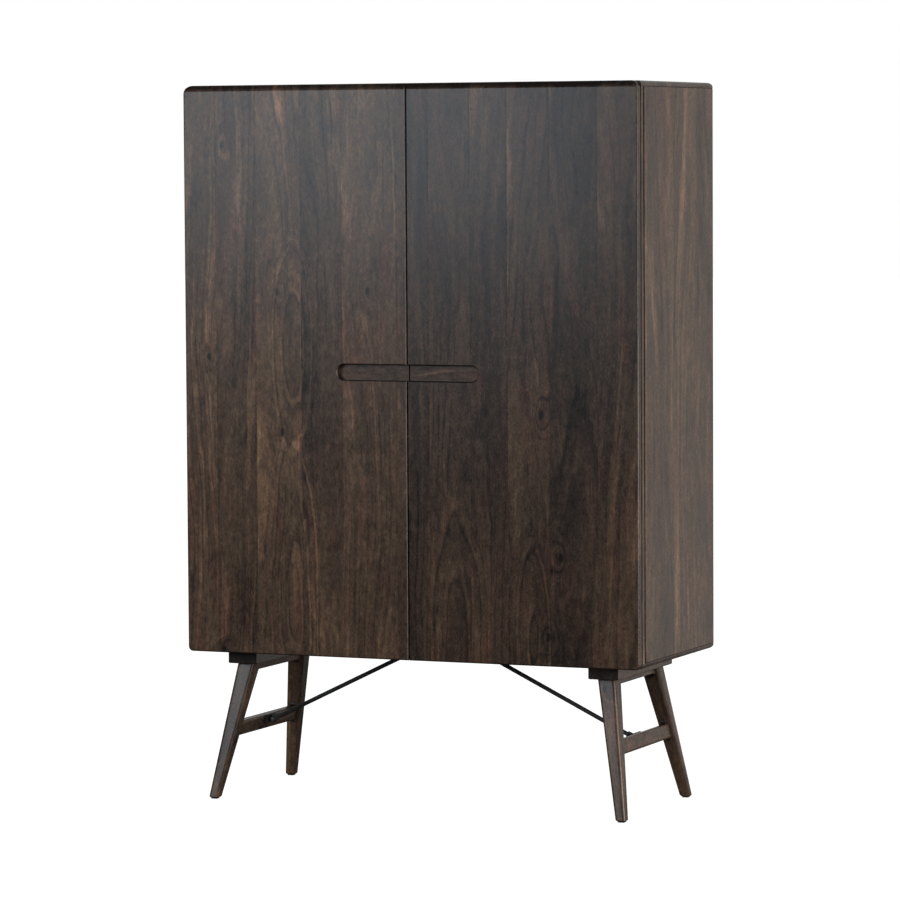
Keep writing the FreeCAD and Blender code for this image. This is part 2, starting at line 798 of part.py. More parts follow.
def frame_bar(z, height, thickness, round_radius, levels, fillet_radius, legs):
    """A bar between the two legs, filleted into them and cut to seat on their faces."""
    half_y = leg_top_spacing / 2 + (board_underside - z) * splay_y
    blank = box(-thickness / 2, thickness / 2, -half_y, half_y, -height / 2, height / 2)
    long_edges = [e for e in blank.Edges if near(e.Length, 2 * half_y)]
    blank = blank.makeFillet(round_radius, long_edges)
    for wedge in wedges(z, height / 2, levels, fillet_radius, thickness - 2 * round_radius):
        blank = blank.fuse(wedge)
    piece = tilted(blank, z)
    for one_leg in legs:
        piece = piece.cut(one_leg)
    above = box(0, overall_width, -overall_depth, overall_depth, board_underside, case_top)
    return piece.cut(above).removeSplitter()


def lug(y0, y1, reach):
    """Flat lug about a bolt's centre, with the corners of its end clipped."""
    flat = lug_half_width - lug_clip
    outline = ((-lug_half_width, reach), (-lug_half_width, -flat), (-flat, -lug_half_width),
               (flat, -lug_half_width), (lug_half_width, -flat), (lug_half_width, reach),
               (-lug_half_width, reach))
    ring = [Vector(x, y0, z) for x, z in outline]
    return Part.Face(Part.makePolygon(ring)).extrude(BACK * (y1 - y0))


def rod_bracket():
    """Bracket drawn with its bolt at the origin, its base plate above and one lug."""
    bracket = box(-bracket_plate_width / 2, bracket_plate_width / 2,
                  -bracket_plate_length / 2, bracket_plate_length / 2,
                  lug_reach, lug_reach + bracket_plate_thickness)
    corners = [e for e in bracket.Edges if near(e.Length, bracket_plate_thickness)]
    bracket = bracket.makeChamfer(lug_clip, corners)
    near_face = rod_tab_thickness / 2
    far_face = near_face + lug_thickness
    bracket = bracket.fuse(lug(near_face, far_face, lug_reach))
    hole = bar(BACK * near_face, BACK * far_face, bolt_radius + bolt_clearance)
    return bracket.cut(hole).removeSplitter()


def hexagon(y, way):
    """Bolt head or nut that stands away from a face."""
    turns = [math.radians(60 * corner) for corner in range(7)]
    ring = [Vector(bolt_head_radius * math.cos(turn), y, bolt_head_radius * math.sin(turn))
            for turn in turns]
    return Part.Face(Part.makePolygon(ring)).extrude(BACK * (way * bolt_head_height))


def rod_bolt():
    """Bolt along Y that clamps the rod's flattened end to the bracket's lug."""
    front = -rod_tab_thickness / 2
    rear = rod_tab_thickness / 2 + lug_thickness
    shank = bar(BACK * front, BACK * rear, bolt_radius)
    return shank.fuse(hexagon(front, -1)).fuse(hexagon(rear, 1)).removeSplitter()


def upper_placed(shape):
    shape = shape.copy()
    shape.translate(Vector(rod_upper_x, frame_centre_y,
                           case_bottom - bracket_plate_thickness - lug_reach))
    return shape


def lower_placed(shape):
    """Turned so that the base plate lies on the stretcher's inner face."""
    shape = shape.copy()
    shape.rotate(Vector(0, 0, 0), BACK, 90)
    shape.translate(Vector(-stretcher_thickness / 2 - bracket_plate_thickness - lug_reach, 0,
                           rod_lower_rise))
    return tilted(shape, stretcher_centre)


def brace_rod():
    """Round rod with a flattened, drilled tab at each end."""
    low = lower_placed(Part.Vertex(0, 0, 0)).Point
    high = upper_placed(Part.Vertex(0, 0, 0)).Point
    run = (high - low).normalize()
    half = rod_tab_thickness / 2
    rod = bar(low + run * (rod_tab_length - edge_ease), high - run * (rod_tab_length - edge_ease),
              rod_radius)
    for end, way in ((low, run), (high, run * -1)):
        tab = lug(-half, half, rod_tab_length)
        tab.rotate(Vector(0, 0, 0), BACK, math.degrees(math.atan2(way.x, way.z)))
        tab.translate(end)
        rod = rod.fuse(tab)
        rod = rod.cut(bar(end - BACK * half, end + BACK * half, bolt_radius + bolt_clearance))
    return rod.removeSplitter()


def build_leg_frames():
    legs = [leg(-1), leg(1)]
    save_pair("mounting_board", mounting_board())
    save_pair("front_leg", legs[0])
    save_pair("back_leg", legs[1])
    rail_z = board_underside - rail_drop / 2
    save_pair("frame_rail", frame_bar(rail_z, rail_drop + 2 * edge_ease, rail_thickness,
                                      edge_ease, (-1,), rail_fillet, legs))
    save_pair("stretcher", frame_bar(stretcher_centre, stretcher_height, stretcher_thickness,
                                     stretcher_round, (-1, 1), stretcher_fillet, legs))
    glides = []
    for side_y in (-1, 1):
        foot = leg_centre(glide_height, side_y)
        glides += both_sides(square_peg(foot, glide_size, 0, glide_height))
    save("foot_glides", *glides)
    save_pair("brace_rod", brace_rod())
    brackets = []
    bolts = []
    for placed in (lower_placed, upper_placed):
        brackets += both_sides(placed(rod_bracket()))
        bolts += both_sides(placed(rod_bolt()))
    save("rod_brackets", *brackets)
    save("rod_bolts", *bolts)


os.makedirs("parts", exist_ok=True)
build_case()
build_doors()
build_shelf()
build_bracket()
build_leg_frames()
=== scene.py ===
# %% [markdown]
# # A bar cabinet in stained acacia
#
# A tall two-door cabinet stands on two splayed leg frames that are tied by thin steel rods.
# Its boards, doors, legs and hinges arrive as a finished frame of solid parts. This lesson
# gives them wood, lacquer and metal, adds the small hardware that holds them together, and
# sets up a plain studio around the cabinet.

# %% Load the cabinet
import math
import random
from types import SimpleNamespace

import bmesh
import bpy
from mathutils import Matrix, Vector


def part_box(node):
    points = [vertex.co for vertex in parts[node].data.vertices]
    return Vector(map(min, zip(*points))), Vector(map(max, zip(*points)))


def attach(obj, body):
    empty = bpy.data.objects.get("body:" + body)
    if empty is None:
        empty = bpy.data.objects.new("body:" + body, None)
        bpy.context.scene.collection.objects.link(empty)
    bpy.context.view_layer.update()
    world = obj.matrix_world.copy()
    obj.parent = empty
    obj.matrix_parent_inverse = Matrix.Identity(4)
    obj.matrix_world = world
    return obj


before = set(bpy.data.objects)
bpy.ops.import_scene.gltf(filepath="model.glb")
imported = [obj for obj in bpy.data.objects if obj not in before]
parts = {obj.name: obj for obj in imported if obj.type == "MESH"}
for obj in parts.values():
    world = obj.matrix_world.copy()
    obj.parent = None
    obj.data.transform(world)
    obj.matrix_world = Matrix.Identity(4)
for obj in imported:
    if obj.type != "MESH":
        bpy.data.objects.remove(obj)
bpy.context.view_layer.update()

# %% [markdown]
# ## The camera
#
# A cabinet this tall looks best through a long lens from far away, because its uprights then
# stay nearly parallel. A short lens close by would make the top look small. The camera stands
# to the right, a little below the cabinet's top, and looks slightly down, so that the doors,
# the right-hand side and the legs all show. The three turns are kept apart: first round the
# upright axis, then up or down, then a touch of roll.

# %% Place the camera
LENS_MM = 174.94
CAMERA_PLACE = Vector((4.004, -9.2513, 1.4883))
CAMERA_TURN = math.radians(23.40)
CAMERA_TILT = math.radians(-3.86)
CAMERA_ROLL = math.radians(-0.333)

camera_data = bpy.data.cameras.new("camera")
camera_data.lens = LENS_MM
camera_data.clip_end = 200
camera = bpy.data.objects.new("camera", camera_data)
camera.matrix_world = (
    Matrix.Translation(CAMERA_PLACE)
    @ Matrix.Rotation(CAMERA_TURN, 4, "Z")
    @ Matrix.Rotation(math.pi / 2 + CAMERA_TILT, 4, "X")
    @ Matrix.Rotation(CAMERA_ROLL, 4, "Z")
)
scene = bpy.context.scene
scene.collection.objects.link(camera)
scene.camera = camera
scene.view_settings.view_transform = "Standard"
print("camera stands", round(CAMERA_PLACE.length, 2), "m from the cabinet's foot")

# %% [markdown]
# ## Small helpers for node trees
#
# Every finish below is a tree of nodes. Each node could be added with four or five lines of
# its own, but a tree of forty nodes would then be hard to read. One helper adds a node and
# feeds it, another does one sum, and the tree reads almost like a formula.

# %% Helpers that build node trees
def put(tree, kind, feeds=None, **settings):
    """Adds a shader node. feeds maps an input to a value or to another node's output."""
    node = tree.nodes.new("ShaderNode" + kind)
    for name, value in settings.items():
        setattr(node, name, value)
    for name, value in (feeds or {}).items():
        if isinstance(value, bpy.types.NodeSocket):
            tree.links.new(value, node.inputs[name])
        else:
            node.inputs[name].default_value = value
    return node


def calc(tree, operation, a, b=0.0, c=0.0):
    """One sum with a Math node."""
    return put(tree, "Math", {0: a, 1: b, 2: c}, operation=operation).outputs[0]


def fade(tree, value, start, end, low=0.0, high=1.0):
    """Goes smoothly from low to high while value goes from start to end."""
    feeds = {"Value": value, "From Min": start, "From Max": end, "To Min": low, "To Max": high}
    return put(tree, "MapRange", feeds, interpolation_type="SMOOTHSTEP").outputs[0]


def hump(tree, value, rise, fall):
    """0, then 1 after the rise, then 0 again after the fall. Both are (start, end)."""
    falling = fade(tree, value, fall[1], fall[0])
    return calc(tree, "MULTIPLY", fade(tree, value, *rise), falling)


def stretch(tree, vector, across, along):
    """Scales a place so that a pattern on it is drawn out along the grain."""
    feeds = {0: vector, 1: (across, across, along)}
    return put(tree, "VectorMath", feeds, operation="MULTIPLY").outputs[0]


def cloud(tree, place, seed, detail=2.0, roughness=0.5):
    """Noise from 0 to 1 that changes with the seed."""
    feeds = {"Vector": place, "W": seed, "Scale": 1.0, "Detail": detail, "Roughness": roughness}
    return put(tree, "TexNoise", feeds, noise_dimensions="4D").outputs["Fac"]


def new_group(name, inputs, outputs):
    """An empty node group with named sockets."""
    group = bpy.data.node_groups.new(name, "ShaderNodeTree")
    for socket, kind in inputs.items():
        group.interface.new_socket(socket, in_out="INPUT", socket_type="NodeSocket" + kind)
    for socket, kind in outputs.items():
        group.interface.new_socket(socket, in_out="OUTPUT", socket_type="NodeSocket" + kind)
    start = group.nodes.new("NodeGroupInput")
    end = group.nodes.new("NodeGroupOutput")
    return group, start.outputs, end.inputs


print("node helpers ready")

# %% [markdown]
# ## Acacia staves
#
# The doors and sides are not single boards. They are glued up from staves, 70 to 150 mm wide on
# the doors and a third wider on the sides. Each stave comes from another part of a tree, so its
# tone and its figure change at every glue line. A picture of wood could be pasted on, but it
# would repeat and would not turn the corner of a board. Here the wood is worked out in space
# instead, from noises that are drawn out along the grain. X runs across the staves and Z along
# them. Most noises get the stave's own seed, so they break off at a glue line.

# %% Cut the log into staves
GRAIN = {
    # name: changes per metre across and along the grain, detail, roughness
    "waves": (6.5, 1.0, 1.0, 0.5),
    "wobble": (42.0, 6.5, 2.0, 0.5),
    "ring fade": (11.0, 2.6, 2.0, 0.5),
    "patch": (9.0, 2.2, 3.0, 0.6),
    "dark patch": (24.0, 9.0, 3.0, 0.6),
    "streak": (80.0, 6.0, 3.0, 0.6),
    "fibre": (190.0, 26.0, 3.0, 0.7),
    "grit": (300.0, 150.0, 1.0, 0.7),
    "mottle": (80.0, 40.0, 3.0, 0.6),
    "pore": (430.0, 60.0, 1.0, 0.5),
    "hue": (30.0, 5.0, 3.0, 0.6),
}
UNEVEN_STAVES = 0.7         # at 0 all staves would be equally wide
SEED_RANGE = 40.0           # a stave's seed lies between 0 and this
GLUE_LINE = (0.003, 0.010)  # where it starts to fade and where it ends, in stave widths


def cut_staves(group, given):
    """Where a spot lies in its stave, and the three chance numbers of that stave."""
    axes = put(group, "SeparateXYZ", {0: given["Place"]}).outputs
    step = calc(group, "DIVIDE", axes["X"], given["Stave Width"])
    cells = {"W": step, "Scale": 1.0, "Randomness": UNEVEN_STAVES}
    stave = put(group, "TexVoronoi", cells, voronoi_dimensions="1D").outputs
    edge = put(group, "TexVoronoi", cells, voronoi_dimensions="1D",
               feature="DISTANCE_TO_EDGE").outputs["Distance"]
    luck = put(group, "SeparateColor", {0: stave["Color"]}).outputs
    steps_off = calc(group, "SUBTRACT", step, stave["W"])
    return SimpleNamespace(
        place=given["Place"], x=axes["X"], z=axes["Z"], luck=luck,
        seed=calc(group, "MULTIPLY", luck[0], SEED_RANGE),
        from_middle=calc(group, "MULTIPLY", steps_off, given["Stave Width"]),
        glue_line=fade(group, edge, *GLUE_LINE, 1.0, 0.0))


def layer(group, stave, name, seed=None):
    """One noise of the GRAIN table, with the stave's seed or one of its own."""
    across, along, detail, roughness = GRAIN[name]
    where = stretch(group, stave.place, across, along)
    return cloud(group, where, stave.seed if seed is None else seed, detail, roughness)


print("noises in the wood:", ", ".join(GRAIN))

# %% [markdown]
# ## Rings, knots and arches
#
# A stave is a slice of a log, and its growth rings are drawn as the level lines of one smooth
# field, as height lines are on a map. Where a stave is cut through the side of the log, the
# field climbs steeply across it and the lines run straight. Where it is cut near the middle,
# slow waves take over and the lines bend. Knots are rare, and push the lines aside.

# %% Grow the rings
KNOTS_ACROSS, KNOTS_ALONG = 11.0, 6.0   # places for a knot, per metre
KNOTLESS = 0.89                         # share of these places that stay empty
MIDDLE_CUT_RINGS = 12.0                 # rings per metre across a stave from the log's middle
SIDE_CUT_RINGS = 90.0                   # how many more there are in one from the log's side
WAVE_SHIFT, WOBBLE_SHIFT, KNOT_SHIFT = 13.0, 1.4, 2.2   # how many rings each pushes the lines


def grow_knots(group, stave):
    """The ground around a knot, and its dark core."""
    spot = put(group, "CombineXYZ", {"X": calc(group, "MULTIPLY", stave.x, KNOTS_ACROSS),
                                     "Y": calc(group, "MULTIPLY", stave.z, KNOTS_ALONG)})
    knot = put(group, "TexVoronoi", {"Vector": spot.outputs[0], "Scale": 1.0},
               voronoi_dimensions="2D").outputs
    luck = put(group, "SeparateColor", {0: knot["Color"]}).outputs
    is_there = calc(group, "GREATER_THAN", luck[1], KNOTLESS)
    near = calc(group, "MULTIPLY", fade(group, knot["Distance"], 0.42, 0.0), is_there)
    core = calc(group, "MULTIPLY", fade(group, knot["Distance"], 0.075, 0.025), is_there)
    return near, core


def grow_rings(group, given, stave, near_knot):
    """Dark ring lines, and a noise that follows them and tints the bands between them."""
    side_cut = calc(group, "MULTIPLY", stave.luck[1], stave.luck[1])
    slope = calc(group, "MULTIPLY_ADD", side_cut, SIDE_CUT_RINGS, MIDDLE_CUT_RINGS)
    field = calc(group, "MULTIPLY", stave.from_middle, slope)
    field = calc(group, "MULTIPLY_ADD", layer(group, stave, "waves"), WAVE_SHIFT, field)
    feeds = {"Factor": given["In Swell"], "A": field, "B": given["Swell"]}
    field = put(group, "Mix", feeds).outputs[0]
    field = calc(group, "MULTIPLY_ADD", layer(group, stave, "wobble"), WOBBLE_SHIFT, field)
    field = calc(group, "MULTIPLY_ADD", near_knot, KNOT_SHIFT, field)
    line = hump(group, calc(group, "FRACT", field), (0.60, 0.94), (0.97, 1.0))
    strength = fade(group, layer(group, stave, "ring fade"), 0.40, 0.64, 0.15, 1.0)
    spot = put(group, "CombineXYZ", {"X": field, "Y": calc(group, "MULTIPLY", stave.luck[2], 9.0),
                                     "Z": calc(group, "MULTIPLY", stave.z, 2.0)})
    band = cloud(group, spot.outputs[0], stave.seed, 3.0, 0.6)
    return calc(group, "MULTIPLY", line, strength), band


print("rings per metre across a stave:", MIDDLE_CUT_RINGS, "to", MIDDLE_CUT_RINGS + SIDE_CUT_RINGS)

# %% [markdown]
# Where a branch began, the board is cut through its foot, and the rings close into nested
# arches. Such a swelling is an oval with a ring count of its own. Its edge is made uneven with
# a little noise, because a clean oval would look drawn with a compass. Each ring has a broad
# tan part and a narrow dark one.

# %% Shape a swelling
TAN_ARCH, DARK_ARCH = 0.13, -0.10       # what each adds to the tone


def build_swelling():
    """Ring field, mask and tone of nested arches in an oval."""
    group, given, result = new_group(
        "swelling", {"Place": "Vector", "Centre": "Vector", "Size": "Vector", "Rings": "Float"},
        {"Rings": "Float", "Inside": "Float", "Tone": "Float"})
    offset = put(group, "VectorMath", {0: given["Place"], 1: given["Centre"]},
                 operation="SUBTRACT").outputs[0]
    scaled = put(group, "VectorMath", {0: offset, 1: given["Size"]},
                 operation="DIVIDE").outputs[0]
    reach = put(group, "VectorMath", {0: scaled}, operation="LENGTH").outputs["Value"]
    uneven = cloud(group, stretch(group, given["Place"], 16.0, 4.5), 3.0, 2.0)
    reach = calc(group, "ADD", reach, calc(group, "MULTIPLY_ADD", uneven, 0.5, -0.25))
    inside = fade(group, reach, 1.12, 1.0)
    rings = calc(group, "MULTIPLY", calc(group, "SUBTRACT", 1.08, reach), given["Rings"])
    phase = calc(group, "FRACT", rings)
    tone = calc(group, "MULTIPLY", hump(group, phase, (0.06, 0.20), (0.30, 0.40)), TAN_ARCH)
    dark_part = hump(group, phase, (0.37, 0.42), (0.45, 0.52))
    tone = calc(group, "MULTIPLY_ADD", dark_part, DARK_ARCH, tone)
    group.links.new(rings, result["Rings"])
    group.links.new(inside, result["Inside"])
    group.links.new(calc(group, "MULTIPLY", tone, inside), result["Tone"])
    return group


swelling = build_swelling()
print("swelling:", len(swelling.nodes), "nodes")

# %% [markdown]
# ## From broad patches to pores
#
# Rings alone look like a drawing. Real acacia also has patches that run over many rings, tan
# streaks, fine fibres, a sandy grit and open pores, which show as short dashes. A noise that is
# used as it is lightens and darkens the wood softly. Cut off with a fade it becomes a mask,
# which marks some spots and leaves the rest alone. The finest noises keep one seed for all
# staves, because nobody can see them break off at a glue line.

# %% Lay the grain
def lay_grain(group, given, stave):
    """All noises and all masks of the wood, by name."""
    near_knot, knot_core = grow_knots(group, stave)
    rings, band = grow_rings(group, given, stave, near_knot)
    patch = layer(group, stave, "patch")
    streak = layer(group, stave, "streak")
    dark_patch = layer(group, stave, "dark patch", stave.luck[1])
    noises = {"patch": patch, "band": band, "streak": streak,
              "fibre": layer(group, stave, "fibre", 0.0),
              "grit": layer(group, stave, "grit", 4.0),
              "mottle": layer(group, stave, "mottle", 1.0)}
    masks = {"rings": rings, "knot core": knot_core, "near knot": near_knot,
             "tan band": fade(group, band, 0.54, 0.74),
             "tan streak": calc(group, "MULTIPLY", fade(group, streak, 0.52, 0.76),
                                fade(group, patch, 0.42, 0.62)),
             "dark patch": fade(group, dark_patch, 0.58, 0.74),
             "pores": fade(group, layer(group, stave, "pore", 2.0), 0.57, 0.75),
             "glue line": stave.glue_line, "end grain and edge shade": given["End Grain And Edge Shade"]}
    return noises, masks


print("grain is ready to be laid")

# %% [markdown]
# ## Stain
#
# All noises and masks add to one number, the tone, and a ramp of five browns turns it into a
# colour, from nearly black to tan. Working with one number keeps the layers in balance. The
# stain turns a little ruddy in some places and olive in others.

# %% Mix the stain
BROWNS = (
    (0.00, (0.0085, 0.0062, 0.0050)),
    (0.25, (0.0290, 0.0182, 0.0130)),
    (0.50, (0.0660, 0.0405, 0.0265)),
    (0.75, (0.1350, 0.0800, 0.0460)),
    (1.00, (0.2600, 0.1620, 0.0930)),
)
RUDDY, OLIVE = (1.16, 0.93, 0.96, 1.0), (0.93, 1.0, 0.97, 1.0)
TINT_SHARE = 0.8


def stain(group, tone, hue):
    """Colour of a tone, shifted to ruddy where the hue is high and to olive where it is low."""
    ramp = put(group, "ValToRGB", {0: tone})
    stops = ramp.color_ramp.elements
    stops[0].position, stops[-1].position = BROWNS[0][0], BROWNS[-1][0]
    for position, _ in BROWNS[1:-1]:
        stops.new(position)
    for stop, (_, colour) in zip(stops, BROWNS):
        stop.color = (*colour, 1.0)
    result = ramp.outputs[0]
    for tint, start, end in ((RUDDY, 0.50, 0.68), (OLIVE, 0.48, 0.32)):
        factor = fade(group, hue, start, end, 0.0, TINT_SHARE)
        result = put(group, "Mix", {"Factor": factor, "A": result, "B": tint},
                     data_type="RGBA", blend_type="MULTIPLY").outputs["Result"]
    return result


print("browns:", len(BROWNS))

# %% [markdown]
# The tables below are the recipe. A share says how much a layer lightens the wood, or darkens
# it if it is negative. End grain soaks up the most stain, and on the doors the same darkening
# is also painted shade on their top and bottom edges. Mottle, pores and end grain make the
# lacquer a little rougher, and the grit, the pores and the glue lines can just be felt.

# %% Build the wood pattern
NOISE_TONES = {"patch": 0.66, "band": 0.56, "streak": 0.13, "fibre": 0.17, "grit": 0.55,
               "mottle": 0.56}
# The end-grain tone is also painted shade on the doors' top and bottom edges.
MASK_TONES = {"rings": -0.16, "tan band": 0.18, "tan streak": 0.13, "dark patch": -0.18,
              "pores": -0.08, "knot core": -0.34, "near knot": -0.08, "glue line": -0.04,
              "end grain and edge shade": -0.38}
DARKEST_STAVE, STAVE_TONES = 0.40, 0.14
SMOOTHEST = 0.20
ROUGHNESSES = {"mottle": 0.10, "pores": 0.05, "end grain and edge shade": 0.12}
HEIGHTS = {"grit": 0.4, "pores": -0.35, "glue line": -0.6}


def add_up(group, total, layers, shares):
    """Adds to the total each named layer times its share."""
    for name, share in shares.items():
        total = calc(group, "MULTIPLY_ADD", layers[name], share, total)
    return total


def build_wood():
    """Turns a place in the log into colour, roughness and height."""
    group, given, result = new_group(
        "acacia staves",
        {"Place": "Vector", "End Grain And Edge Shade": "Float", "Stave Width": "Float", "Tone": "Float",
         "Swell": "Float", "In Swell": "Float"},
        {"Color": "Color", "Roughness": "Float", "Height": "Float"})
    stave = cut_staves(group, given)
    noises, masks = lay_grain(group, given, stave)
    centred = {name: calc(group, "SUBTRACT", noises[name], 0.5) for name in NOISE_TONES}
    tone = calc(group, "MULTIPLY_ADD", stave.luck[2], STAVE_TONES, DARKEST_STAVE)
    tone = add_up(group, tone, centred, NOISE_TONES)
    tone = add_up(group, tone, masks, MASK_TONES)
    tone = calc(group, "ADD", tone, given["Tone"])
    hue = layer(group, stave, "hue", stave.luck[2])
    group.links.new(stain(group, tone, hue), result["Color"])
    layers = noises | masks
    group.links.new(add_up(group, SMOOTHEST, layers, ROUGHNESSES), result["Roughness"])
    group.links.new(add_up(group, 0.0, layers, HEIGHTS), result["Height"])
    return group


wood_pattern = build_wood()
print("wood pattern:", len(wood_pattern.nodes), "nodes")

# %% [markdown]
# ## One board, one finish
#
# The pattern wants to know which way a board's grain runs. A joiner lays the grain along a
# piece's length: upright in doors, sides and stiles, sideways in the top, the shelves and the
# rails, and down the slope of a leg. Every board gets its own turned copy of the material,
# moved to another spot in the log, so that no two boards are alike. The lacquer is a thin satin
# film, so the surface mirrors little when seen straight on and much more at a low angle.

# %% Make a wood finish
X_AXIS = Vector((1, 0, 0))
Y_AXIS = Vector((0, 1, 0))
Z_AXIS = Vector((0, 0, 1))
STAVE_WIDTH = 0.11
THROUGH = 9.0               # half the depth of a swelling: it goes right through any board
END_GRAIN_AND_EDGE_SHADE = (0.22, 0.60)    # how squarely a surface cuts the fibres: where it starts and is full
LACQUER_IOR, LACQUER_SHINE = 1.45, 0.36
BUMP_STRENGTH, BUMP_DEPTH = 0.30, 0.0004
board_luck = random.Random(11)


def mask_end_grain_and_edge_shade(tree, normal, grain, darkest):
    """High across the grain: end grain, and painted shade on the doors' top and bottom edges."""
    facing = put(tree, "VectorMath", {0: normal, 1: grain}, operation="DOT_PRODUCT")
    squareness = calc(tree, "ABSOLUTE", facing.outputs["Value"])
    return fade(tree, squareness, *END_GRAIN_AND_EDGE_SHADE, 0.0, darkest)


def add_swells(tree, place, tone, swells):
    """Field, mask and tone of all swellings of a board together."""
    field = inside = 0.0
    for centre_x, centre_z, half_width, half_length, rings in swells:
        oval = put(tree, "Group", {"Place": place, "Centre": (centre_x, 0.0, centre_z),
                                   "Size": (half_width, THROUGH, half_length), "Rings": rings},
                   node_tree=swelling).outputs
        field = calc(tree, "MULTIPLY_ADD", oval["Rings"], oval["Inside"], field)
        inside = calc(tree, "MAXIMUM", oval["Inside"], inside)
        tone = calc(tree, "ADD", oval["Tone"], tone)
    return field, inside, tone


def wood_finish(name, across, grain, tone=0.0, dark_ends=1.0, swells=(), figure_size=1.0):
    """A lacquered wood material whose grain runs the given way."""
    finish = bpy.data.materials.new("wood " + name)
    finish.use_nodes = True
    tree = finish.node_tree
    where = put(tree, "TexCoord").outputs
    turn = Matrix((across, grain.cross(across), grain)).to_euler()
    spot = [board_luck.uniform(-9, 9) for _ in range(3)]
    feeds = {"Vector": where["Object"], "Location": spot, "Rotation": turn,
             "Scale": [1.0 / figure_size] * 3}
    turned = put(tree, "Mapping", feeds).outputs[0]
    field, inside, tone = add_swells(tree, where["Object"], tone, swells)
    end_grain_and_edge_shade = mask_end_grain_and_edge_shade(tree, where["Normal"], grain, dark_ends)
    feeds = {"Place": turned, "End Grain And Edge Shade": end_grain_and_edge_shade, "Stave Width": STAVE_WIDTH, "Tone": tone,
             "Swell": field, "In Swell": inside}
    pattern = put(tree, "Group", feeds, node_tree=wood_pattern).outputs
    bump = put(tree, "Bump", {"Strength": BUMP_STRENGTH, "Distance": BUMP_DEPTH,
                              "Height": pattern["Height"]})
    surface = tree.nodes["Principled BSDF"]
    tree.links.new(pattern["Color"], surface.inputs["Base Color"])
    tree.links.new(pattern["Roughness"], surface.inputs["Roughness"])
    tree.links.new(bump.outputs[0], surface.inputs["Normal"])
    surface.inputs["IOR"].default_value = LACQUER_IOR
    surface.inputs["Specular IOR Level"].default_value = LACQUER_SHINE
    return finish


def finish_node(name, material):
    """Gives a part of the frame its material, and leaves its mesh as it is."""
    parts[name].data.materials.clear()
    parts[name].data.materials.append(material)


print("stave width:", STAVE_WIDTH, "m")

# %% [markdown]
# Now each board gets its own finish. The two directions say which way its staves lie side by
# side and which way its grain runs. The tone lightens or darkens it: the inside is stained
# lighter than the outside, and the right-hand door is set darker than the left one. The left
# stretcher is set darker than the right one as painted shade, for the left leg frame stands in
# shade. The rounded ends of the sides, the top and the bottom get only a little of the end-grain
# darkening, which on the doors is also painted shade on their top and bottom edges.

# %% Finish the boards
UPRIGHT = (X_AXIS, Z_AXIS)
UPRIGHT_SIDE = (Y_AXIS, Z_AXIS)
FLAT = (Y_AXIS, X_AXIS)
ON_EDGE = (Z_AXIS, X_AXIS)
FLAT_DEEP = (X_AXIS, Y_AXIS)
ON_EDGE_DEEP = (Z_AXIS, Y_AXIS)
FAINT_END_DARKENING = 0.15           # share of the usual end-grain darkening and painted edge shade that these boards get
SIDE_FIGURE = 1.35          # size of the sides' figure, for they are cut from a thicker log

boards = {
    "left_door_panel": (*UPRIGHT, -0.01), "right_door_panel": (*UPRIGHT, -0.17),
    "left_side_panel": (*UPRIGHT_SIDE, 0.05), "right_side_panel": (*UPRIGHT_SIDE, 0.05),
    "left_stile": (*UPRIGHT, 0.0), "right_stile": (*UPRIGHT, 0.0),
    "top_board": (*FLAT, 0.0), "bottom_board": (*FLAT, -0.02),
    "top_rail": (*ON_EDGE, 0.0), "bottom_rail": (*ON_EDGE, 0.0),
    "left_pull_block": (*ON_EDGE, 0.0), "right_pull_block": (*ON_EDGE, 0.03),
    "back_panel": (*UPRIGHT, 0.18),
    "counter_shelf": (*FLAT, 0.24), "upper_shelf": (*FLAT, 0.22),
    "lower_shelf": (*FLAT, 0.22), "lower_divider": (*UPRIGHT_SIDE, 0.22),
    "shelf_battens": (*ON_EDGE, 0.2), "glass_rails": (*FLAT_DEEP, 0.22),
    "bottle_row_1": (*ON_EDGE, 0.22), "bottle_row_2": (*ON_EDGE, 0.22),
    "bottle_row_3": (*ON_EDGE, 0.22),
    "shelf_cleat": (*ON_EDGE, 0.2), "shelf_leaf": (*ON_EDGE, 0.24),
    "shelf_catch": (*UPRIGHT, 0.18), "bracket_post": (*UPRIGHT, 0.22),
    "bracket_arm": (*ON_EDGE, 0.22), "bracket_brace": (*UPRIGHT, 0.22),
    "left_mounting_board": (*FLAT_DEEP, 0.0), "right_mounting_board": (*FLAT_DEEP, 0.0),
    "left_frame_rail": (*ON_EDGE_DEEP, 0.0), "right_frame_rail": (*ON_EDGE_DEEP, 0.0),
    # The left stretcher's darker tone is painted shade: the left leg frame stands in shade.
    "left_stretcher": (*ON_EDGE_DEEP, -0.14), "right_stretcher": (*ON_EDGE_DEEP, 0.0),
}
faint_end_boards = ("left_side_panel", "right_side_panel", "top_board", "bottom_board")
# Each swelling: its centre in x and z, its half width and half length, and its rings.
door_swells = {
    "left_door_panel": ((-0.285, 1.05, 0.050, 0.24, 2.4), (-0.285, 0.47, 0.060, 0.38, 2.8)),
    "right_door_panel": ((0.120, 0.38, 0.068, 0.33, 2.2), (0.305, 0.40, 0.042, 0.22, 1.8)),
}
for name, (across, grain, tone) in boards.items():
    dark_ends = FAINT_END_DARKENING if name in faint_end_boards else 1.0
    figure_size = SIDE_FIGURE if name.endswith("side_panel") else 1.0
    swells = door_swells.get(name, ())
    finish_node(name, wood_finish(name, across, grain, tone, dark_ends, swells, figure_size))
print("boards finished:", len(boards))

# %% [markdown]
# A leg leans two ways, so its grain is worked out from the leg itself: from the middle of its
# foot to the middle of its head.

# %% Finish the legs
END_SLICE = 0.12            # of a leg's height: how much of it counts as foot or as head
LEG_TONE = -0.02
LEG_END_DARKENING = 0.3               # share of the end-grain darkening and painted edge shade that the legs get


